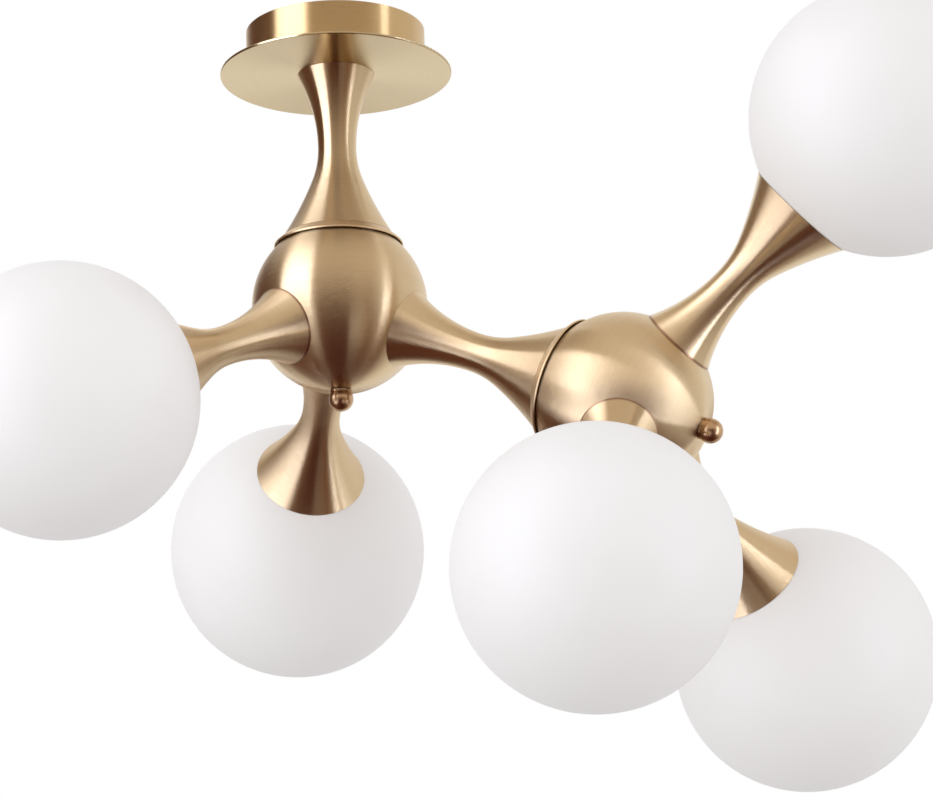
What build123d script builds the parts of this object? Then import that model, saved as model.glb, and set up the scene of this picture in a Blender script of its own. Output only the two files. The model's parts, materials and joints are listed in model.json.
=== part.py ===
from build123d import *
import math
import os

# Ceiling light: a canopy, a stem, two ball hubs and five opal globes on waisted arms.
# Millimetres and degrees. The origin is at the ceiling, on the canopy's centre line, and +Z is up.

# Opal globes
GLOBE_R = 75.0  # outside radius of a globe
GLOBE_WALL = 2.5
NECK_LENGTH = 6.0  # glass neck, past the globe's own round
NECK_WALL = 2.5
NECK_FLOOR_GAP = 0.8  # end of the neck to the floor of its holder
RIM_GAP = 0.3  # flare rim to glass

# Waisted columns and arms, all of one profile, from the small end to the large end
ARM_LENGTH = 98.2
ARM_WALL = 1.5
SMALL_R = 21.9
WAIST_R = 10.9
LARGE_R = 31.5
WAIST_AT = 44.4  # waist, from the small end
FLARE_ANGLE = 31.5  # slope of the flare at its rim
THROAT_TANGENT = 10.3  # tangent length of the tight round beside the waist
SEAT_GAP = 0.1  # spun edge to its seat

# Ball hubs
HUB_R = 49.5
HUB_WALL = 2.0
ARM_TILT = 25.0  # arms lean this far away from the hub's collar
ARM_AZIMUTHS = (0.0, -120.0, 120.0)
UPPER_TURN = -20.0  # turn of the upper hub as photographed
LOWER_TURN = 5.0  # turn of the lower hub as photographed

# Dished collars over the hubs' mouths
COLLAR_T = 1.0
COLLAR_GAP = 1.2  # shadow gap that the hub turns in, between collar and hub
COLLAR_BORDER = 5.0  # collar showing round the flare rim
COLLAR_LAP = 7.0  # collar over the edge of the hub's mouth
COLLAR_ROUND = 0.3

# Ceiling bracket
SLOT_SPACING = 70.0
SLOT_LENGTH = 12.0
SLOT_WIDTH = 5.0
STRAP_EDGE = 6.0  # end of a slot to the end of the strap
STRAP_WIDTH = 20.0
STRAP_T = 1.5
BRIDGE_DROP = 10.0  # ceiling to the top of the stepped-down bridge
BUSH_LENGTH = 6.5
BUSH_WALL = 3.0

# Canopy
CUP_CLEARANCE = 2.0  # bracket corner to the inside of the cup
CUP_WALL = 1.0
CUP_ROUND = 1.0
DISC_OVERHANG = 15.0
DISC_T = 1.5
DISC_ROUND = 0.5

# Threaded rods, nipples and nuts
ROD_R = 5.0
ROD_BORE_R = 2.4
HOLE_CLEARANCE = 0.2
THREAD_CLEARANCE = 0.05
ROD_TAIL = 1.0  # thread standing out of a nut
NUT_FLATS = 14.0
NUT_T = 4.0
NUT_GAP = 1.5  # bracket bush to the canopy nut
WINDOW_LENGTH = 20.0  # wire window in a rod, inside the hub
WINDOW_WIDTH = 3.6

# Swivel bushes and finials
STUD_R = 3.0
STUD_CLEARANCE = 0.06
BUSH_SLEEVE_WALL = 2.0
BUSH_FLANGE_R = 9.0
BUSH_FLANGE_T = 2.0
BUSH_GAP = 0.3
WASHER_R = 6.2
WASHER_T = 0.6
WASHER_GAP = 0.2
KNOB_R = 6.9
KNOB_NECK_R = 5.9
KNOB_NECK = 0.4
KNOB_GAP = 0.1
STUD_GRIP = 6.0  # stud inside the knob
STUD_END_GAP = 0.5

# Shade holders and seals
HOLDER_FLOOR = 2.0
HOLDER_WALL = 2.2
HOLDER_GAP = 0.2  # holder to the inside of the flare
SCREW_CLEARANCE = 0.35  # glass neck in the holder
SEAL_T = 1.2
SEAL_GAP = 0.3  # seal to glass

# Lampholders and lamps
LAMPHOLDER_R = 10.0
LAMPHOLDER_THREAD = 6.0
LAMPHOLDER_WEB = 2.0  # ceramic between the thread and the pin holes
LAMPHOLDER_CHAMFER = 1.0
PIN_R = 0.8
PIN_LENGTH = 12.0
PIN_PITCH = 9.0
PIN_CLEARANCE = 0.3
LAMP_BASE_X = 15.0
LAMP_BASE_Y = 6.0
LAMP_BASE_IN = 4.0  # lamp base inside the lampholder
LAMP_BASE_OUT = 3.0
LAMP_R = 8.5
LAMP_LENGTH = 40.0

# Leads, splices and the terminal block
LEAD_R = 1.6
LEAD_BEND = 5.0
LEAD_CLEARANCE = 0.1
LEAD_HEADROOM = 1.4  # lead to the ceiling
LEAD_TAIL = 18.0  # hub centre to the end of a lead
SPLICE_R = 4.0
SPLICE_LENGTH = 14.0
SPLICE_GRIP = 9.0
BLOCK_X = 26.0
BLOCK_Y = 16.0
BLOCK_Z = 12.0
BLOCK_STANDOFF = 14.0  # rod axis to the near side of the block
BLOCK_GRIP = 5.0
EARTH_HEAD_R = 3.5
EARTH_HEAD_T = 2.5
EARTH_SHANK_R = 2.0
EARTH_STANDOFF = 18.0

# Sizes that follow from the ones above
ROD_HOLE_R = ROD_R + HOLE_CLEARANCE
THREAD_R = ROD_R + THREAD_CLEARANCE
NUT_CORNER_R = NUT_FLATS / math.sqrt(3)
STUD_HOLE_R = STUD_R + STUD_CLEARANCE
HUB_INNER_R = HUB_R - HUB_WALL
COLLAR_INNER_R = HUB_R + COLLAR_GAP
COLLAR_OUTER_R = COLLAR_INNER_R + COLLAR_T
COLLAR_EDGE_R = LARGE_R + COLLAR_BORDER
HUB_MOUTH_R = COLLAR_EDGE_R - COLLAR_LAP
STRAP_HALF = SLOT_SPACING / 2 + SLOT_LENGTH / 2 + STRAP_EDGE
BRIDGE_HALF = SLOT_SPACING / 2 - SLOT_LENGTH / 2 - STRAP_EDGE
CUP_INNER_R = math.hypot(STRAP_HALF, STRAP_WIDTH / 2) + CUP_CLEARANCE
CUP_R = CUP_INNER_R + CUP_WALL
CUP_FLOOR = BRIDGE_DROP + STRAP_T + BUSH_LENGTH + NUT_GAP + NUT_T
CUP_HEIGHT = CUP_FLOOR + CUP_WALL
DISC_R = CUP_R + DISC_OVERHANG
LAMPHOLDER_LENGTH = LAMPHOLDER_THREAD + LAMPHOLDER_WEB + PIN_LENGTH + PIN_CLEARANCE + LAMP_BASE_IN
CANOPY_HEIGHT = CUP_HEIGHT + DISC_T

# Places along a column or arm, from the outer edge of its small end
OVERRUN = 2.0
HUB_SEAT = math.sqrt((HUB_R + SEAT_GAP) ** 2 - SMALL_R**2)
AT_NEXT_HUB = ARM_LENGTH + math.sqrt((COLLAR_OUTER_R + SEAT_GAP) ** 2 - LARGE_R**2)
AT_GLOBE = ARM_LENGTH + math.sqrt((GLOBE_R + RIM_GAP) ** 2 - LARGE_R**2)
AT_NECK_END = AT_GLOBE - GLOBE_R - NECK_LENGTH
AT_FLOOR = AT_NECK_END - NECK_FLOOR_GAP
AT_NUT = math.sqrt(HUB_INNER_R**2 - NUT_CORNER_R**2) - SEAT_GAP - HUB_SEAT
AT_INNER_END = AT_NUT - NUT_T - ROD_TAIL
AT_COLLAR_NUT = AT_NEXT_HUB - math.sqrt(COLLAR_INNER_R**2 - NUT_CORNER_R**2) + SEAT_GAP
AT_NIPPLE_END = AT_FLOOR + LAMPHOLDER_THREAD - ROD_TAIL
AT_LAMP = AT_FLOOR + LAMPHOLDER_LENGTH
AT_BUSH = AT_NEXT_HUB + HUB_INNER_R - BUSH_FLANGE_T
AT_WASHER = AT_NEXT_HUB + HUB_R + WASHER_GAP
AT_KNOB = AT_WASHER + WASHER_T + KNOB_GAP
AT_KNOB_BALL = AT_KNOB + KNOB_NECK + math.sqrt(KNOB_R**2 - KNOB_NECK_R**2)

BASE = (Align.CENTER, Align.CENTER, Align.MIN)
nodes = {}


def rod(radius, low, high):
    return Pos(0, 0, low) * Cylinder(radius, high - low, align=BASE)


def tube(radius, bore, low, high):
    return rod(radius, low, high) - rod(bore, low, high)


def ball(radius, at):
    return Pos(0, 0, at) * Sphere(radius)


def block(x, y, low, high):
    return Pos(0, 0, low) * Box(x, y, high - low, align=BASE)


def hex_nut(low):
    hexagon = RegularPolygon(NUT_FLATS / 2, 6, major_radius=False)
    return Pos(0, 0, low) * extrude(hexagon, NUT_T) - rod(THREAD_R, low, low + NUT_T)


def waist_arcs():
    """The three tangent arcs of the profile, each as centre radius, centre place and signed radius."""
    rise = SMALL_R - WAIST_R
    small_radius = (WAIST_AT**2 + rise**2) / (2 * rise)
    slope = math.radians(FLARE_ANGLE)
    rim_way = Vector(math.cos(slope), math.sin(slope))
    reach = Vector(ARM_LENGTH - WAIST_AT - THROAT_TANGENT, LARGE_R - WAIST_R)
    rim_tangent = (reach.dot(reach) - THROAT_TANGENT**2) / (2 * (reach.dot(rim_way) + THROAT_TANGENT))
    between = reach - rim_way * rim_tangent
    turn = math.atan2(between.Y, between.X)
    throat_radius = THROAT_TANGENT / math.tan(turn / 2)
    rim_radius = rim_tangent / math.tan((slope - turn) / 2)
    joint_at = WAIST_AT + throat_radius * math.sin(turn)
    joint_r = WAIST_R + throat_radius * (1 - math.cos(turn))
    small = (WAIST_R + small_radius, WAIST_AT, small_radius)
    throat = (WAIST_R + throat_radius, WAIST_AT, throat_radius)
    rim = (joint_r + rim_radius * math.cos(turn), joint_at - rim_radius * math.sin(turn), rim_radius)
    return small, throat, rim, turn


def waist_profile(inset, low, high):
    """The profile's edges from low to high along the axis, set in from the outside by inset."""
    small, throat, rim, turn = waist_arcs()
    start = math.asin((low - small[1]) / (small[2] + inset))
    end = math.asin((high - rim[1]) / (rim[2] + inset))
    edges = []
    for arc, first, last in ((small, start, 0), (throat, 0, turn), (rim, turn, end)):
        centre_r, centre_at, radius = arc
        points = []
        for angle in (first, (first + last) / 2, last):
            r = centre_r - (radius + inset) * math.cos(angle)
            points.append((r, 0, centre_at + (radius + inset) * math.sin(angle)))
        edges.append(ThreePointArc(*points))
    return edges


def flare_inner_radius(at):
    """Inside radius of the flare at a place along the axis."""
    centre_r, centre_at, radius = waist_arcs()[2]
    return centre_r - math.sqrt((radius + ARM_WALL) ** 2 - (at - centre_at) ** 2)


def waisted_shell(small_seat, large_seat):
    """Spun shell of the waisted profile, cut to fit its two seats."""
    outer = waist_profile(0, -OVERRUN, ARM_LENGTH + OVERRUN)
    inner = waist_profile(ARM_WALL, -OVERRUN, ARM_LENGTH + OVERRUN)
    ends = [Line(outer[0] @ 0, inner[0] @ 0), Line(outer[-1] @ 1, inner[-1] @ 1)]
    return revolve(make_face(outer + inner + ends), Axis.Z) - small_seat - large_seat


# The shade holder and the glass neck take their radii from the flare that they sit in
HOLDER_R = flare_inner_radius(AT_FLOOR - HOLDER_FLOOR) - HOLDER_GAP
HOLDER_BORE_R = HOLDER_R - HOLDER_WALL
NECK_R = HOLDER_BORE_R - SCREW_CLEARANCE
AT_SEAL = AT_GLOBE - math.sqrt(GLOBE_R**2 - (NECK_R + SEAL_GAP) ** 2) - SEAL_GAP - SEAL_T

# Seats that the spun shells are cut to
HUB_BALL_SEAT = ball(HUB_R + SEAT_GAP, -HUB_SEAT)
COLLAR_SEAT = ball(COLLAR_OUTER_R + SEAT_GAP, AT_NEXT_HUB)
GLOBE_SEAT = ball(GLOBE_R + RIM_GAP, AT_GLOBE)
DISC_SEAT = rod(2 * SMALL_R, -2 * OVERRUN, 0)


def column_collar():
    """Dished collar under a column's flare, over the mouth of the hub."""
    dish = ball(COLLAR_OUTER_R, AT_NEXT_HUB) - ball(COLLAR_INNER_R, AT_NEXT_HUB)
    collar = dish & rod(COLLAR_EDGE_R, AT_NEXT_HUB - COLLAR_OUTER_R, AT_NEXT_HUB)
    collar = fillet(collar.edges(), COLLAR_ROUND)
    return collar - rod(ROD_HOLE_R, AT_NEXT_HUB - 2 * COLLAR_OUTER_R, AT_NEXT_HUB)


def column_rod(low):
    """Hollow threaded rod with a wire window in the hub and a stud for the finial."""
    shoulder = AT_BUSH - BUSH_GAP
    body = rod(ROD_R, low, shoulder) + rod(STUD_R, shoulder, AT_KNOB + STUD_GRIP)
    body -= rod(ROD_BORE_R, low, AT_NEXT_HUB + WINDOW_LENGTH / 2)
    window_low = AT_NEXT_HUB - WINDOW_LENGTH / 2
    window = block(2 * ROD_R, WINDOW_WIDTH, window_low, window_low + WINDOW_LENGTH)
    return body - Pos(ROD_R, 0, 0) * window


def finial_washer():
    return tube(WASHER_R, STUD_HOLE_R, AT_WASHER, AT_WASHER + WASHER_T)


def finial_knob():
    neck = rod(KNOB_NECK_R, AT_KNOB, AT_KNOB_BALL)
    above = rod(2 * KNOB_R, AT_KNOB - 2 * KNOB_R, AT_KNOB + KNOB_NECK)
    stud_hole = rod(STUD_HOLE_R, AT_KNOB, AT_KNOB + STUD_GRIP + STUD_END_GAP)
    return ball(KNOB_R, AT_KNOB_BALL) - above + neck - stud_hole


def hub_bush():
    """Flanged swivel bush in the hole opposite the collar."""
    wall_hole = math.sqrt(HUB_R**2 - (STUD_HOLE_R + BUSH_SLEEVE_WALL) ** 2)
    flange = rod(BUSH_FLANGE_R, AT_BUSH, AT_NEXT_HUB + HUB_R)
    flange &= ball(HUB_INNER_R - SEAT_GAP, AT_NEXT_HUB)
    sleeve = rod(STUD_HOLE_R + BUSH_SLEEVE_WALL, AT_BUSH, AT_NEXT_HUB + wall_hole)
    return flange + sleeve - rod(STUD_HOLE_R, AT_BUSH - BUSH_GAP, AT_NEXT_HUB + HUB_R)


def hub_shell():
    """Ball shell about its own centre: mouth at the top, three arm holes, bush hole at the bottom."""
    shell = Sphere(HUB_R) - Sphere(HUB_INNER_R)
    shell -= rod(HUB_MOUTH_R, 0, 2 * HUB_R)
    shell -= rod(STUD_HOLE_R + BUSH_SLEEVE_WALL + SEAT_GAP, -2 * HUB_R, 0)
    for azimuth in ARM_AZIMUTHS:
        shell -= Rot(0, 0, azimuth) * Rot(0, 90 + ARM_TILT, 0) * rod(ROD_HOLE_R, 0, 2 * HUB_R)
    return shell


def shade_holder():
    """Threaded cup for the glass neck, seated on the inside of the flare."""
    floor_low = AT_FLOOR - HOLDER_FLOOR
    top = AT_SEAL - SEAT_GAP
    cup = rod(HOLDER_R, floor_low, top) - rod(HOLDER_BORE_R, AT_FLOOR, top)
    return cup - rod(ROD_HOLE_R, floor_low, AT_FLOOR)


def globe():
    """Blown globe with an open neck towards the hub."""
    outside = ball(GLOBE_R, AT_GLOBE) + rod(NECK_R, AT_NECK_END, AT_GLOBE)
    inside = ball(GLOBE_R - GLOBE_WALL, AT_GLOBE) + rod(NECK_R - NECK_WALL, AT_NECK_END, AT_GLOBE)
    return outside - inside


def lampholder():
    """Ceramic pin-base lampholder, screwed on the end of the nipple."""
    top = AT_FLOOR + LAMPHOLDER_LENGTH
    body = rod(LAMPHOLDER_R, AT_FLOOR, top)
    body = chamfer(body.edges().group_by(Axis.Z)[-1], LAMPHOLDER_CHAMFER)
    body -= rod(THREAD_R, AT_FLOOR, AT_FLOOR + LAMPHOLDER_THREAD)
    recess = 2 * PIN_CLEARANCE
    body -= block(LAMP_BASE_X + recess, LAMP_BASE_Y + recess, top - LAMP_BASE_IN - PIN_CLEARANCE, top)
    for side in (-1, 1):
        hole = rod(PIN_R + PIN_CLEARANCE, top - LAMP_BASE_IN - PIN_LENGTH - PIN_CLEARANCE, top)
        body -= Pos(side * PIN_PITCH / 2, 0, 0) * hole
    return body


def lamp():
    """Two-pin capsule lamp."""
    base_low = AT_LAMP - LAMP_BASE_IN
    base_high = AT_LAMP + LAMP_BASE_OUT
    body = block(LAMP_BASE_X, LAMP_BASE_Y, base_low, base_high + LAMP_R / 2)
    body += rod(LAMP_R, base_high, base_high + LAMP_LENGTH - LAMP_R)
    body += ball(LAMP_R, base_high + LAMP_LENGTH - LAMP_R)
    for side in (-1, 1):
        body += Pos(side * PIN_PITCH / 2, 0, 0) * rod(PIN_R, base_low - PIN_LENGTH, base_low)
    return body


def splice():
    """Closed-end crimp on the tail of a lead."""
    mouth = LEAD_TAIL + SPLICE_GRIP - HUB_SEAT
    low = mouth - SPLICE_LENGTH
    tail = LEAD_TAIL - LEAD_CLEARANCE - HUB_SEAT
    return rod(SPLICE_R, low, mouth) - rod(LEAD_R + LEAD_CLEARANCE, tail, mouth)


def seal():
    return tube(HOLDER_R, NECK_R + SEAL_GAP, AT_SEAL, AT_SEAL + SEAL_T)


def arm_direction(frame, azimuth):
    turn = math.radians(azimuth)
    tilt = math.radians(ARM_TILT)
    outward = frame.x_dir * math.cos(turn) + frame.y_dir * math.sin(turn)
    return outward * math.cos(tilt) - frame.z_dir * math.sin(tilt)


def arm_frame(hub_frame, azimuth):
    """Frame of an arm: origin at its small end, Z outward along the arm."""
    direction = arm_direction(hub_frame, azimuth)
    side = hub_frame.z_dir.cross(direction).normalized()
    return Plane(origin=hub_frame.origin + direction * HUB_SEAT, x_dir=side, z_dir=direction)


def add(name, frame, *shapes):
    """Place one shape, or a group of shapes, as a named node."""
    placed = [frame.location * shape for shape in shapes]
    add_placed(name, placed)


def add_placed(name, placed):
    nodes[name] = placed[0] if len(placed) == 1 else Compound(children=placed)


# Frames of the stem, the hubs and the connector
stem_frame = Plane(origin=(0, 0, -CANOPY_HEIGHT - SEAT_GAP), x_dir=(1, 0, 0), z_dir=(0, 0, -1))
upper_x = (math.cos(math.radians(UPPER_TURN)), math.sin(math.radians(UPPER_TURN)), 0)
upper_centre = stem_frame.origin + stem_frame.z_dir * AT_NEXT_HUB
upper_hub = Plane(origin=upper_centre, x_dir=upper_x, z_dir=(0, 0, 1))
connector_frame = arm_frame(upper_hub, ARM_AZIMUTHS[0])
way = connector_frame.z_dir
lower_centre = connector_frame.origin + way * AT_NEXT_HUB
upright = (Vector(0, 0, 1) - way * way.Z).normalized()
aside = way.cross(upright)
lower_x = upright * math.cos(math.radians(LOWER_TURN)) + aside * math.sin(math.radians(LOWER_TURN))
lower_hub = Plane(origin=lower_centre, x_dir=lower_x, z_dir=way * -1)

arm_frames = {
    1: arm_frame(upper_hub, ARM_AZIMUTHS[1]),
    2: arm_frame(upper_hub, ARM_AZIMUTHS[2]),
    3: arm_frame(lower_hub, ARM_AZIMUTHS[1]),
    4: arm_frame(lower_hub, ARM_AZIMUTHS[2]),
    5: arm_frame(lower_hub, ARM_AZIMUTHS[0]),
}
UPPER_ARMS = (1, 2)
LOWER_ARMS = (3, 4, 5)


def ceiling_bracket():
    """Slotted strap stepped down in the middle, with a threaded bush under the bridge."""
    bridge_low = -BRIDGE_DROP - STRAP_T
    strap = block(2 * BRIDGE_HALF, STRAP_WIDTH, bridge_low, -BRIDGE_DROP)
    strap += rod(ROD_R + BUSH_WALL, bridge_low - BUSH_LENGTH, bridge_low)
    foot_length = STRAP_HALF - BRIDGE_HALF + STRAP_T
    for side in (-1, 1):
        foot_x = side * (STRAP_HALF - foot_length / 2)
        foot = Pos(foot_x, 0, 0) * block(foot_length, STRAP_WIDTH, -STRAP_T, 0)
        leg_x = side * (BRIDGE_HALF - STRAP_T / 2)
        leg = Pos(leg_x, 0, 0) * block(STRAP_T, STRAP_WIDTH, bridge_low, 0)
        slot = extrude(SlotOverall(SLOT_LENGTH, SLOT_WIDTH), STRAP_T, both=True)
        strap += foot + leg
        strap -= Pos(side * SLOT_SPACING / 2, 0, 0) * slot
    strap -= rod(THREAD_R, bridge_low - BUSH_LENGTH, -BRIDGE_DROP)
    earth_hole = rod(EARTH_SHANK_R + THREAD_CLEARANCE, bridge_low, -BRIDGE_DROP)
    return strap - Pos(EARTH_STANDOFF, 0, 0) * earth_hole


def earth_screw():
    bridge_low = -BRIDGE_DROP - STRAP_T
    head = rod(EARTH_HEAD_R, bridge_low - EARTH_HEAD_T, bridge_low)
    return Pos(EARTH_STANDOFF, 0, 0) * (head + rod(EARTH_SHANK_R, bridge_low, -BRIDGE_DROP + STRAP_T))


def canopy_cup():
    """Drawn cup, open to the ceiling."""
    cup = rod(CUP_R, -CUP_HEIGHT, 0)
    cup = fillet(cup.edges().group_by(Axis.Z)[0], CUP_ROUND)
    cup -= rod(CUP_INNER_R, -CUP_FLOOR, 0)
    return cup - rod(ROD_HOLE_R, -CUP_HEIGHT, -CUP_FLOOR)


def canopy_disc():
    disc = rod(DISC_R, -CANOPY_HEIGHT, -CUP_HEIGHT)
    disc = fillet(disc.edges(), DISC_ROUND)
    return disc - rod(ROD_HOLE_R, -CANOPY_HEIGHT, -CUP_HEIGHT)


BLOCK_CENTRE_Y = BLOCK_STANDOFF + BLOCK_Y / 2
BLOCK_TOP = BLOCK_Z - CUP_FLOOR


def terminal_block():
    """Terminal block on the floor of the cup, behind the rod."""
    body = block(BLOCK_X, BLOCK_Y, -CUP_FLOOR, BLOCK_TOP)
    body -= rod(LEAD_R + LEAD_CLEARANCE, BLOCK_TOP - BLOCK_GRIP, BLOCK_TOP)
    return Pos(0, BLOCK_CENTRE_Y, 0) * body


def supply_lead():
    """Lead from the terminal block over the rod's top and down its bore to the upper hub."""
    crown = -LEAD_HEADROOM - LEAD_R
    route = [
        (0, 0, upper_centre.Z),
        (0, 0, crown),
        (0, BLOCK_CENTRE_Y, crown),
        (0, BLOCK_CENTRE_Y, BLOCK_TOP - BLOCK_GRIP + LEAD_CLEARANCE),
    ]
    path = FilletPolyline(*route, radius=LEAD_BEND)
    return sweep(Pos(*route[0]) * Circle(LEAD_R), path)


# Ceiling mount: everything that stays with the ceiling
nodes["ceiling_bracket"] = ceiling_bracket()
nodes["earth_screw"] = earth_screw()
nodes["canopy_cup"] = canopy_cup()
nodes["canopy_disc"] = canopy_disc()
nodes["terminal_block"] = terminal_block()
nodes["supply_lead"] = supply_lead()
rod_top = BRIDGE_DROP - CANOPY_HEIGHT - SEAT_GAP
canopy_nut_at = CUP_FLOOR - NUT_T - CANOPY_HEIGHT - SEAT_GAP
add("stem_rod", stem_frame, column_rod(rod_top))
add("stem_nuts", stem_frame, hex_nut(canopy_nut_at), hex_nut(AT_COLLAR_NUT))
add("stem_column", stem_frame, waisted_shell(DISC_SEAT, COLLAR_SEAT))
add("stem_collar", stem_frame, column_collar())
add("upper_finial_washer", stem_frame, finial_washer())
add("upper_finial_knob", stem_frame, finial_knob())

# Upper hub, with the connector to the lower hub
add("upper_hub_shell", upper_hub, hub_shell())
add("upper_hub_bush", stem_frame, hub_bush())
add("connector_rod", connector_frame, column_rod(AT_INNER_END))
add("connector_column", connector_frame, waisted_shell(HUB_BALL_SEAT, COLLAR_SEAT))
add("connector_collar", connector_frame, column_collar())
add("lower_finial_washer", connector_frame, finial_washer())
add("lower_finial_knob", connector_frame, finial_knob())

# Lower hub
add("lower_hub_shell", lower_hub, hub_shell())
add("lower_hub_bush", connector_frame, hub_bush())

# Lights
for number, frame in arm_frames.items():
    add(f"arm_{number}", frame, waisted_shell(HUB_BALL_SEAT, GLOBE_SEAT))
    add(f"shade_holder_{number}", frame, shade_holder())
    add(f"lampholder_{number}", frame, lampholder())
    add(f"seal_{number}", frame, seal())
    add(f"globe_{number}", frame, globe())
    add(f"lamp_{number}", frame, lamp())

# Nuts, nipples, leads and splices, grouped by the hub that carries them
nut = hex_nut(AT_NUT - NUT_T)
nipple = tube(ROD_R, ROD_BORE_R, AT_INNER_END, AT_NIPPLE_END)
lamp_lead = rod(LEAD_R, LEAD_TAIL - HUB_SEAT, AT_NIPPLE_END)
connector_lead = rod(LEAD_R, LEAD_TAIL - HUB_SEAT, AT_NEXT_HUB)
for hub, arms in (("upper", UPPER_ARMS), ("lower", LOWER_ARMS)):
    places = [arm_frames[number].location for number in arms]
    nuts = [place * nut for place in places]
    leads = [place * lamp_lead for place in places]
    splices = [place * splice() for place in places]
    if hub == "upper":
        place = connector_frame.location
        nuts += [place * nut, place * hex_nut(AT_COLLAR_NUT)]
        leads.append(place * connector_lead)
        splices.append(place * splice())
    add_placed(f"{hub}_hub_nuts", nuts)
    add_placed(f"{hub}_hub_nipples", [place * nipple for place in places])
    add_placed(f"{hub}_hub_leads", leads)
    add_placed(f"{hub}_hub_splices", splices)

os.makedirs("parts", exist_ok=True)
for name, shape in nodes.items():
    export_step(shape, f"parts/{name}.step")
print(len(nodes), "nodes")
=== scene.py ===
import bpy
import json
import math
from collections import namedtuple
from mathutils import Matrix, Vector

# Looks of a ceiling light with two brushed brass hubs and five satin opal globes.
# Metres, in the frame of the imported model: origin at the ceiling, +Z up.

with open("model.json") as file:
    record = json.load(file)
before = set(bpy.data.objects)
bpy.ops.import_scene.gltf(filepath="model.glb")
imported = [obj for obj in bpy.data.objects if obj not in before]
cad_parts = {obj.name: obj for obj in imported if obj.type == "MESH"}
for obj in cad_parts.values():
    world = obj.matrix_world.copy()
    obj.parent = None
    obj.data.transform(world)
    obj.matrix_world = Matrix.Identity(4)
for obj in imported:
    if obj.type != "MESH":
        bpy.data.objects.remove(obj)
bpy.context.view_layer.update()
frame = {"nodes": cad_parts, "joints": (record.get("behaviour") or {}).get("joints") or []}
nodes = frame["nodes"]
joints = {joint["name"]: joint for joint in frame["joints"]}

# Pieces that repeat
LEVELS = ("upper", "lower")
GLOBES = range(1, 6)
UPPER_ARMS = (1, 2)

# Camera, fitted to the photograph: place in metres, turn in degrees
IMAGE_WIDTH = 933
SENSOR_WIDTH = 36.0
FOCAL_PIXELS = 5122.90
CAMERA_PLACE = (0.085206, -2.740459, -1.071481)
CAMERA_TURN = (107.2478, 1.3046, 0.7190)

# All colours are linear
WHITE = (1.0, 1.0, 1.0, 1.0)

# Noise textures, scaled per metre, and the part of their values that is made use of
Noise = namedtuple("Noise", "scale detail")
NOISE_RANGE = (0.3, 0.7)

# Brass finishes: two close colours, roughness, how far the sheen is drawn out across the
# brushing, and how far the rings of the brushing tip the surface
Finish = namedtuple("Finish", "light deep roughness sheen tip", defaults=(0.0,))
SATIN = Finish((0.715, 0.547, 0.335, 1.0), (0.690, 0.522, 0.313, 1.0), 0.31, 1.0, 0.17)
CUP = Finish((0.640, 0.450, 0.226, 1.0), (0.615, 0.425, 0.210, 1.0), 0.31, 1.0, 0.17)
DISC = Finish((0.645, 0.512, 0.304, 1.0), (0.630, 0.497, 0.292, 1.0), 0.21, 1.0, 0.10)
COLLAR = Finish((0.740, 0.560, 0.345, 1.0), (0.715, 0.535, 0.323, 1.0), 0.45, 0.5)
FINIAL = Finish((0.570, 0.375, 0.215, 1.0), (0.520, 0.335, 0.185, 1.0), 0.29, 0.2)
BRASS_GLOSS = 0.02

# Brushing: its rings, and how far they wander on the way round
FINE_RINGS = Noise(16000.0, 2.0)
BROAD_RINGS = Noise(900.0, 3.0)
RING_DRIFT = 0.0016

# Polish of the finials
POLISH_CLOUD = Noise(240.0, 3.0)
POLISH_HAZE = Noise(2600.0, 2.0)
POLISH_DEPTH = 0.0000005

# Painted shade in the seam at an arm's edge where it sits on the hub, which ends between these
# distances from the hub's centre
SEAM_SHADE_COLOUR = (0.38, 0.22, 0.14, 1.0)
SEAM_SHADE_REACH = (0.0500, 0.0506)

# Opal glass: the outside is what lies within the skin's distances of the globe's radius
GLOBE_RADIUS = 0.075
GLOBE_SKIN = (0.0004, 0.0008)
OPAL_LIGHT = (0.905, 0.905, 0.910, 1.0)
OPAL_DEEP = (0.885, 0.880, 0.880, 1.0)
OPAL_CLOUD = Noise(16.0, 2.0)
OPAL_ETCH = Noise(1800.0, 2.0)
ETCH_DEPTH = 0.000008
OPAL_ROUGHNESS = 0.54
OPAL_GLOSS = 0.04
OPAL_IOR = 1.5
OPAL_SPECULAR = 0.3

# Inner materials: two close colours, metal or not, roughness, scale and depth of the grain
Inner = namedtuple("Inner", "light deep metallic roughness scale depth")
INSIDE = {
    "zinc_steel": Inner((0.62, 0.63, 0.64), (0.50, 0.51, 0.53), 1.0, 0.34, 900.0, 0.00002),
    "screw_brass": Inner((0.68, 0.52, 0.26), (0.56, 0.41, 0.18), 1.0, 0.30, 1200.0, 0.00001),
    "terminal_plastic": Inner((0.80, 0.79, 0.76), (0.74, 0.73, 0.70), 0.0, 0.45, 1500.0, 0.00002),
    "lead_sleeve": Inner((0.62, 0.60, 0.56), (0.54, 0.52, 0.48), 0.0, 0.55, 2200.0, 0.00003),
    "splice_plastic": Inner((0.72, 0.70, 0.64), (0.64, 0.62, 0.56), 0.0, 0.40, 1500.0, 0.00002),
    "bush_nylon": Inner((0.78, 0.77, 0.72), (0.70, 0.69, 0.63), 0.0, 0.50, 1500.0, 0.00002),
    "holder_aluminium": Inner((0.70, 0.70, 0.71), (0.60, 0.60, 0.62), 1.0, 0.42, 1100.0, 0.00003),
    "lampholder_ceramic": Inner((0.84, 0.82, 0.77), (0.78, 0.76, 0.71), 0.0, 0.35, 800.0, 0.00002),
    "seal_silicone": Inner((0.76, 0.76, 0.75), (0.70, 0.70, 0.69), 0.0, 0.60, 1400.0, 0.00002),
    "lamp_body": Inner((0.86, 0.85, 0.80), (0.80, 0.79, 0.73), 0.0, 0.30, 900.0, 0.00001),
}
CLOUD_SHARE = 0.2
CLOUD_DETAIL = 2.0
GRAIN_DETAIL = 3.0
GRAIN_GLOSS = 0.06

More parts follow.
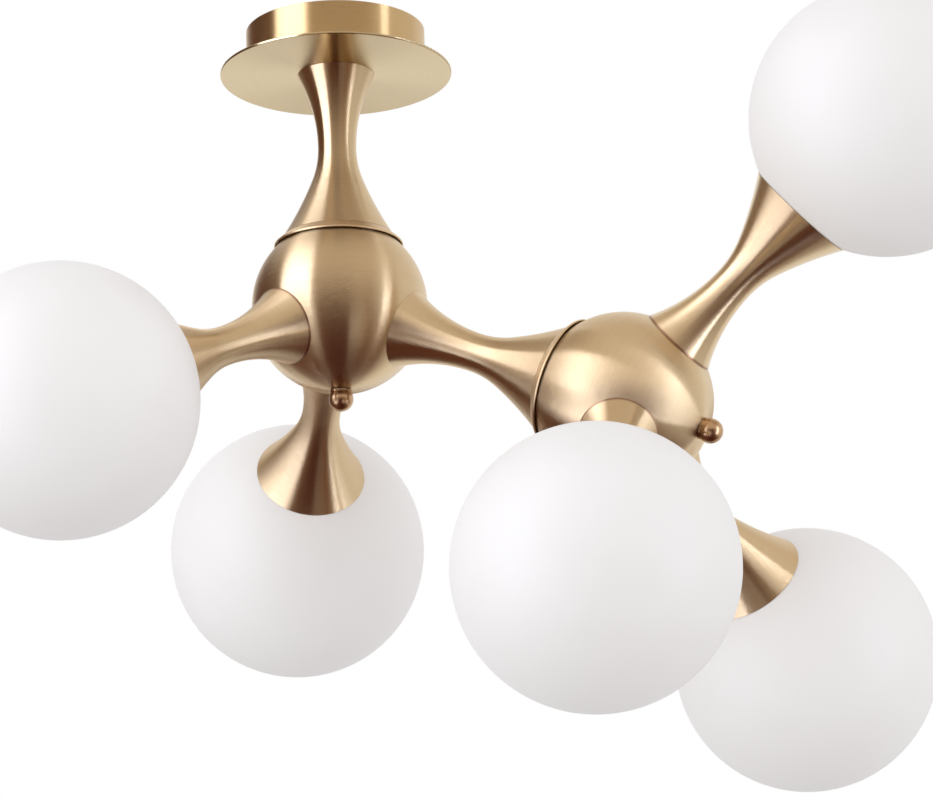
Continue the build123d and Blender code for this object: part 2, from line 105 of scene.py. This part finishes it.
# Floor
FLOOR_Z = -2.0
FLOOR_HALF = 30.0
FLOOR_LIGHT = (0.89, 0.89, 0.89, 1.0)
FLOOR_DEEP = (0.88, 0.88, 0.88, 1.0)
FLOOR_CLOUD = Noise(3.0, 2.0)
FLOOR_ROUGHNESS = 0.8
FLOOR_GLOW = 0.33

# Surroundings that the brass mirrors. An edge is the range of x, y or z of a direction
# over which one thing gives way to the next.
ROOM_FLOOR = (0.075, 0.017, 0.011, 1.0)
ROOM_FLANK = (0.165, 0.072, 0.048, 1.0)
ROOM_HIGH = (0.82, 0.735, 0.65, 1.0)
FLANK_EDGE = (0.15, 0.60)
HIGH_EDGE = (-0.20, 0.32)
BACKDROP_EDGE = (0.20, 0.60)
LEAN_EDGE = (-0.5, 0.5)
BACKDROP_LEAN = (0.75, 0.25)
SIDE_EDGE = (0.60, 0.95)
SIDE_LEVEL = 0.8
DARK_PANEL = (0.145, 0.080, 0.056, 1.0)
PANEL_RIGHT = (-0.60, -0.38)
PANEL_FRONT = (-0.22, -0.02)
PANEL_TOP = (0.50, 0.75)
PANEL_FOOT = (-0.45, -0.25)

# Light from all round on matt surfaces: from its weak side, its strong side and below
AMBIENT_LOW = (0.71, 0.69, 0.685, 1.0)
AMBIENT_HIGH = (1.17, 1.145, 1.145, 1.0)
AMBIENT_WAY = Vector((0.50, -0.63, -0.59))
AMBIENT_UNDER = (0.69, 0.665, 0.655, 1.0)
UNDER_EDGE = (-0.65, -0.35)

# Softboxes: the way to each one from the point that it is aimed at, and for shiny or matt
Softbox = namedtuple("Softbox", "name way width height radiance colour shiny")
SOFTBOXES = (
    Softbox("left_fill", (-0.95, -0.26, 0.10), 1.7, 3.6, 1.1, (0.97, 0.99, 1.02), False),
    Softbox("left_box", (-0.85, -0.52, 0.10), 1.4, 3.6, 3.0, (0.95, 1.03, 1.26), True),
    Softbox("right_box", (0.90, -0.42, -0.10), 0.36, 1.8, 5.0, (0.95, 1.06, 1.34), True),
)
AIM = Vector((0.08, 0.0, -0.23))
SHINY_DISTANCE = 1.9
MATT_DISTANCE = 2.5


class Graph:
    """A node tree, with short calls for the nodes used here."""

    def __init__(self, tree):
        self.tree = tree

    def node(self, kind, **settings):
        made = self.tree.nodes.new(kind)
        for key, value in settings.items():
            setattr(made, key, value)
        return made

    def feed(self, socket, value):
        """Link a socket to another one, or set a plain value on it."""
        if isinstance(value, bpy.types.NodeSocket):
            self.tree.links.new(value, socket)
        else:
            socket.default_value = value

    def vector(self, operation, first, second=None):
        made = self.node("ShaderNodeVectorMath", operation=operation)
        self.feed(made.inputs[0], first)
        if second is not None:
            self.feed(made.inputs["Scale" if operation == "SCALE" else 1], second)
        return made.outputs["Value" if operation in ("DOT_PRODUCT", "LENGTH") else "Vector"]

    def length(self, value):
        return self.vector("LENGTH", value)

    def unit(self, value):
        return self.vector("NORMALIZE", value)

    def number(self, operation, first, second=0.0):
        made = self.node("ShaderNodeMath", operation=operation)
        self.feed(made.inputs[0], first)
        self.feed(made.inputs[1], second)
        return made.outputs["Value"]

    def combine(self, x, y, z):
        made = self.node("ShaderNodeCombineXYZ")
        for socket, value in zip(made.inputs, (x, y, z)):
            self.feed(socket, value)
        return made.outputs["Vector"]

    def separate(self, value):
        made = self.node("ShaderNodeSeparateXYZ")
        self.feed(made.inputs["Vector"], value)
        return made.outputs

    def noise(self, place, texture):
        made = self.node("ShaderNodeTexNoise")
        self.feed(made.inputs["Vector"], place)
        made.inputs["Scale"].default_value = texture.scale
        made.inputs["Detail"].default_value = texture.detail
        return made.outputs["Fac"]

    def spread(self, value, from_low, from_high, low, high, shape="LINEAR"):
        """Map one range of numbers to another, and stay within it."""
        made = self.node("ShaderNodeMapRange", interpolation_type=shape)
        made.inputs["From Min"].default_value = from_low
        made.inputs["From Max"].default_value = from_high
        made.inputs["To Min"].default_value = low
        made.inputs["To Max"].default_value = high
        self.feed(made.inputs["Value"], value)
        return made.outputs["Result"]

    def rise(self, value, edge, top=1.0):
        """Soft step up from nothing, over an edge."""
        return self.spread(value, *edge, 0.0, top, "SMOOTHSTEP")

    def fall(self, value, edge):
        """Soft step down to nothing, over an edge."""
        return self.spread(value, *edge, 1.0, 0.0, "SMOOTHSTEP")

    def vary(self, noise, middle, change):
        """Number that a noise moves up and down about its middle."""
        return self.spread(noise, *NOISE_RANGE, middle - change, middle + change)

    def blend(self, factor, first, second):
        """Mix of two colours."""
        made = self.node("ShaderNodeMix", data_type="RGBA")
        colours = [socket for socket in made.inputs if socket.type == "RGBA"]
        self.feed(made.inputs["Factor"], factor)
        self.feed(colours[0], first)
        self.feed(colours[1], second)
        return next(socket for socket in made.outputs if socket.type == "RGBA")

    def tint(self, noise, deep, light):
        """Colour that a noise moves between two others."""
        return self.blend(self.spread(noise, *NOISE_RANGE, 0.0, 1.0), deep, light)

    def bump(self, height, distance, normal=None):
        made = self.node("ShaderNodeBump")
        made.inputs["Distance"].default_value = distance
        self.feed(made.inputs["Height"], height)
        if normal is not None:
            self.feed(made.inputs["Normal"], normal)
        return made.outputs["Normal"]

    def surface_normal(self):
        return self.node("ShaderNodeNewGeometry").outputs["Normal"]

    def object_place(self):
        return self.node("ShaderNodeTexCoord").outputs["Object"]

    def to_world(self, direction):
        made = self.node("ShaderNodeVectorTransform", vector_type="VECTOR")
        made.convert_from = "OBJECT"
        made.convert_to = "WORLD"
        self.feed(made.inputs["Vector"], direction)
        return made.outputs["Vector"]


def new_material(name):
    """A material, the graph of its nodes and the inputs of its shader."""
    material = bpy.data.materials.new(name)
    material.use_nodes = True
    tree = material.node_tree
    return material, Graph(tree), tree.nodes["Principled BSDF"].inputs


def brushed_brass(name, axis, centre, finish=SATIN, flat=False, hub=None):
    """Brass brushed on a lathe: fine rings round the axis, and a sheen drawn out across them.

    A piece with flat faces has the sheen drawn out along the radius too. An arm is given
    the centre of its hub, and has painted shade at the edge that sits on the hub.
    """
    material, graph, shader = new_material(name)
    place = graph.object_place()
    offset = graph.vector("SUBTRACT", place, centre)
    along = graph.vector("DOT_PRODUCT", offset, axis)
    radial = graph.vector("SUBTRACT", offset, graph.vector("SCALE", axis, along))
    outward = graph.unit(radial)
    drift = graph.vector("DOT_PRODUCT", outward, axis.orthogonal().normalized() * RING_DRIFT)
    rings = graph.combine(along, graph.length(radial), drift)
    fine = graph.noise(rings, FINE_RINGS)
    broad = graph.noise(rings, BROAD_RINGS)
    drawn = graph.to_world(graph.unit(graph.vector("ADD", outward, axis)) if flat else axis)
    tip = graph.vector("SCALE", drawn, graph.vary(fine, 0.0, finish.tip))
    tipped = graph.vector("ADD", graph.surface_normal(), tip)
    colour = graph.tint(broad, finish.deep, finish.light)
    # Painted shade: a darker band at an arm's edge, standing in for the shadow in the seam with
    # the hub
    if hub is not None:
        reach = graph.length(graph.vector("SUBTRACT", place, hub))
        colour = graph.blend(graph.spread(reach, *SEAM_SHADE_REACH, 1.0, 0.0), colour, SEAM_SHADE_COLOUR)
    graph.feed(shader["Base Color"], colour)
    graph.feed(shader["Roughness"], graph.vary(fine, finish.roughness, BRASS_GLOSS))
    graph.feed(shader["Tangent"], drawn)
    graph.feed(shader["Normal"], graph.unit(tipped))
    shader["Metallic"].default_value = 1.0
    shader["Anisotropic"].default_value = finish.sheen
    return material


def polished_brass(name, axis):
    """Plain turned brass of the small finials."""
    material, graph, shader = new_material(name)
    place = graph.object_place()
    cloud = graph.noise(place, POLISH_CLOUD)
    haze = graph.noise(place, POLISH_HAZE)
    graph.feed(shader["Base Color"], graph.tint(cloud, FINIAL.deep, FINIAL.light))
    graph.feed(shader["Roughness"], graph.vary(haze, FINIAL.roughness, BRASS_GLOSS))
    graph.feed(shader["Tangent"], graph.to_world(axis))
    graph.feed(shader["Normal"], graph.bump(haze, POLISH_DEPTH))
    shader["Metallic"].default_value = 1.0
    shader["Anisotropic"].default_value = FINIAL.sheen
    return material


def opal_glass(name, centre):
    """White opal glass with an acid-etched, satin outside, which is shaded as a true ball."""
    material, graph, shader = new_material(name)
    place = graph.object_place()
    offset = graph.vector("SUBTRACT", place, centre)
    height = graph.number("SUBTRACT", graph.length(offset), GLOBE_RADIUS)
    outside = graph.spread(graph.number("ABSOLUTE", height), *GLOBE_SKIN, 1.0, 0.0)
    plain = graph.surface_normal()
    change = graph.vector("SUBTRACT", graph.unit(graph.to_world(offset)), plain)
    rounded = graph.unit(graph.vector("ADD", plain, graph.vector("SCALE", change, outside)))
    cloud = graph.noise(place, OPAL_CLOUD)
    etch = graph.noise(place, OPAL_ETCH)
    graph.feed(shader["Base Color"], graph.tint(cloud, OPAL_DEEP, OPAL_LIGHT))
    graph.feed(shader["Roughness"], graph.vary(etch, OPAL_ROUGHNESS, OPAL_GLOSS))
    graph.feed(shader["Normal"], graph.bump(etch, ETCH_DEPTH, rounded))
    shader["IOR"].default_value = OPAL_IOR
    shader["Specular IOR Level"].default_value = OPAL_SPECULAR
    return material


def grained(name, look):
    """An inner material with a fine grain in its colour, gloss and surface."""
    material, graph, shader = new_material(name)
    place = graph.object_place()
    cloud = graph.noise(place, Noise(look.scale * CLOUD_SHARE, CLOUD_DETAIL))
    grain = graph.noise(place, Noise(look.scale, GRAIN_DETAIL))
    graph.feed(shader["Base Color"], graph.tint(cloud, (*look.deep, 1.0), (*look.light, 1.0)))
    graph.feed(shader["Roughness"], graph.vary(grain, look.roughness, GRAIN_GLOSS))
    graph.feed(shader["Normal"], graph.bump(grain, look.depth))
    shader["Metallic"].default_value = look.metallic
    return material


def dress(material, *names):
    """Put a material in every slot of some nodes of the frame."""
    for name in names:
        for place in nodes[name].material_slots:
            place.material = material


def turning_line(joint):
    """Axis and a point of a joint's turning line."""
    return Vector(joints[joint]["axis"]).normalized(), Vector(joints[joint]["pos_m"])


def dress_metal():
    """Brass on what shows, each piece brushed round its own axis."""
    stem = turning_line("upper_hub_swivel")
    connector = turning_line("lower_hub_swivel")
    dress(brushed_brass("cup_brass", *stem, finish=CUP, flat=True), "canopy_cup")
    dress(brushed_brass("disc_brass", *stem, finish=DISC, flat=True), "canopy_disc")
    dress(brushed_brass("stem_brass", *stem), "stem_column", "upper_hub_shell")
    dress(brushed_brass("connector_brass", *connector), "connector_column", "lower_hub_shell")
    dress(brushed_brass("stem_collar_brass", *stem, finish=COLLAR), "stem_collar")
    dress(brushed_brass("connector_collar_brass", *connector, finish=COLLAR), "connector_collar")
    for number in GLOBES:
        line = turning_line(f"globe_{number}_turn")
        _, hub = stem if number in UPPER_ARMS else connector
        dress(brushed_brass(f"arm_brass_{number}", *line, hub=hub), f"arm_{number}")
    for level, (axis, _) in zip(LEVELS, (stem, connector)):
        finial = polished_brass(f"{level}_finial_brass", axis)
        dress(finial, f"{level}_finial_knob", f"{level}_finial_washer")


def dress_inside():
    """Materials of the pieces inside, which show when the light is taken apart."""
    inside = {name: grained(name, look) for name, look in INSIDE.items()}
    dress(inside["zinc_steel"], "ceiling_bracket", "stem_rod", "connector_rod", "stem_nuts")
    dress(inside["screw_brass"], "earth_screw")
    dress(inside["terminal_plastic"], "terminal_block")
    dress(inside["lead_sleeve"], "supply_lead")
    for level in LEVELS:
        dress(inside["bush_nylon"], f"{level}_hub_bush")
        dress(inside["zinc_steel"], f"{level}_hub_nuts", f"{level}_hub_nipples")
        dress(inside["lead_sleeve"], f"{level}_hub_leads")
        dress(inside["splice_plastic"], f"{level}_hub_splices")
    for number in GLOBES:
        dress(inside["holder_aluminium"], f"shade_holder_{number}")
        dress(inside["lampholder_ceramic"], f"lampholder_{number}")
        dress(inside["seal_silicone"], f"seal_{number}")
        dress(inside["lamp_body"], f"lamp_{number}")


def dress_globes():
    """Opal glass, for each globe about its own centre."""
    for number in GLOBES:
        _, centre = turning_line(f"globe_{number}_turn")
        dress(opal_glass(f"opal_glass_{number}", centre), f"globe_{number}")


def add_camera():
    data = bpy.data.cameras.new("camera")
    data.sensor_fit = "HORIZONTAL"
    data.sensor_width = SENSOR_WIDTH
    data.lens = FOCAL_PIXELS * SENSOR_WIDTH / IMAGE_WIDTH
    camera = bpy.data.objects.new("camera", data)
    camera.location = CAMERA_PLACE
    camera.rotation_euler = [math.radians(angle) for angle in CAMERA_TURN]
    bpy.context.scene.collection.objects.link(camera)
    bpy.context.scene.camera = camera


def add_world():
    """A studio in the round, which the camera itself sees as plain white.

    The brass mirrors a white backdrop behind, more white to the right, a dark panel on the
    left and a dim room in front. Matt surfaces have even light, dimmer from below.
    """
    world = bpy.data.worlds.new("studio")
    world.use_nodes = True
    bpy.context.scene.world = world
    graph = Graph(world.node_tree)
    way = graph.node("ShaderNodeTexCoord").outputs["Generated"]
    x, y, z = graph.separate(way)

    flank = graph.rise(graph.number("ABSOLUTE", x), FLANK_EDGE)
    lower = graph.blend(flank, ROOM_FLOOR, ROOM_FLANK)
    room = graph.blend(graph.rise(z, HIGH_EDGE), lower, ROOM_HIGH)
    below = graph.number("MINIMUM", z, 0.0)
    lean = graph.spread(x, *LEAN_EDGE, *BACKDROP_LEAN)
    behind = graph.number("ADD", y, graph.number("MULTIPLY", below, lean))
    backdrop = graph.rise(behind, BACKDROP_EDGE)
    side = graph.rise(x, SIDE_EDGE, SIDE_LEVEL)
    bright = graph.blend(graph.number("MAXIMUM", backdrop, side), room, WHITE)
    panel = graph.number("MULTIPLY", graph.fall(x, PANEL_RIGHT), graph.rise(y, PANEL_FRONT))
    panel = graph.number("MULTIPLY", panel, graph.fall(z, PANEL_TOP))
    panel = graph.number("MULTIPLY", panel, graph.rise(z, PANEL_FOOT))
    mirrored = graph.blend(panel, bright, DARK_PANEL)

    lit = graph.spread(graph.vector("DOT_PRODUCT", way, AMBIENT_WAY), -1.0, 1.0, 0.0, 1.0)
    around = graph.blend(lit, AMBIENT_LOW, AMBIENT_HIGH)
    ambient = graph.blend(graph.fall(z, UNDER_EDGE), around, AMBIENT_UNDER)

    path = graph.node("ShaderNodeLightPath").outputs
    mirror_ray = graph.number("MAXIMUM", path["Is Glossy Ray"], path["Is Transmission Ray"])
    unseen = graph.blend(mirror_ray, ambient, mirrored)
    background = world.node_tree.nodes["Background"].inputs
    graph.feed(background["Color"], graph.blend(path["Is Camera Ray"], unseen, WHITE))


def add_floor():
    """Pale floor well below, which is clear from underneath and throws no light on the part."""
    data = bpy.data.meshes.new("floor")
    corners = [(x * FLOOR_HALF, y * FLOOR_HALF, FLOOR_Z)
               for x, y in ((-1, -1), (1, -1), (1, 1), (-1, 1))]
    data.from_pydata(corners, [], [(0, 1, 2, 3)])
    floor = bpy.data.objects.new("floor", data)
    bpy.context.scene.collection.objects.link(floor)
    material, graph, shader = new_material("floor_paint")
    cloud = graph.noise(graph.object_place(), FLOOR_CLOUD)
    graph.feed(shader["Base Color"], graph.tint(cloud, FLOOR_DEEP, FLOOR_LIGHT))
    seen = graph.node("ShaderNodeLightPath").outputs["Is Camera Ray"]
    graph.feed(shader["Emission Strength"], graph.number("MULTIPLY", seen, FLOOR_GLOW))
    shader["Emission Color"].default_value = WHITE
    shader["Roughness"].default_value = FLOOR_ROUGHNESS
    under = graph.node("ShaderNodeNewGeometry").outputs["Backfacing"]
    graph.feed(shader["Alpha"], graph.number("SUBTRACT", 1.0, under))
    data.materials.append(material)
    floor.visible_glossy = False
    floor.visible_diffuse = False


def add_softbox(box):
    """Upright softbox, aimed at the part, for its shiny or for its matt surfaces."""
    data = bpy.data.lights.new(box.name, "AREA")
    data.shape = "RECTANGLE"
    data.size = box.width
    data.size_y = box.height
    data.energy = box.radiance * math.pi * box.width * box.height
    data.color = box.colour
    lamp = bpy.data.objects.new(box.name, data)
    distance = SHINY_DISTANCE if box.shiny else MATT_DISTANCE
    lamp.location = AIM + Vector(box.way).normalized() * distance
    lamp.rotation_euler = (AIM - lamp.location).to_track_quat("-Z", "Y").to_euler()
    lamp.visible_camera = False
    lamp.visible_glossy = box.shiny
    lamp.visible_diffuse = not box.shiny
    bpy.context.scene.collection.objects.link(lamp)


dress_metal()
dress_inside()
dress_globes()
add_camera()
add_world()
add_floor()
for softbox in SOFTBOXES:
    add_softbox(softbox)
bpy.context.scene.view_settings.view_transform = "Standard"
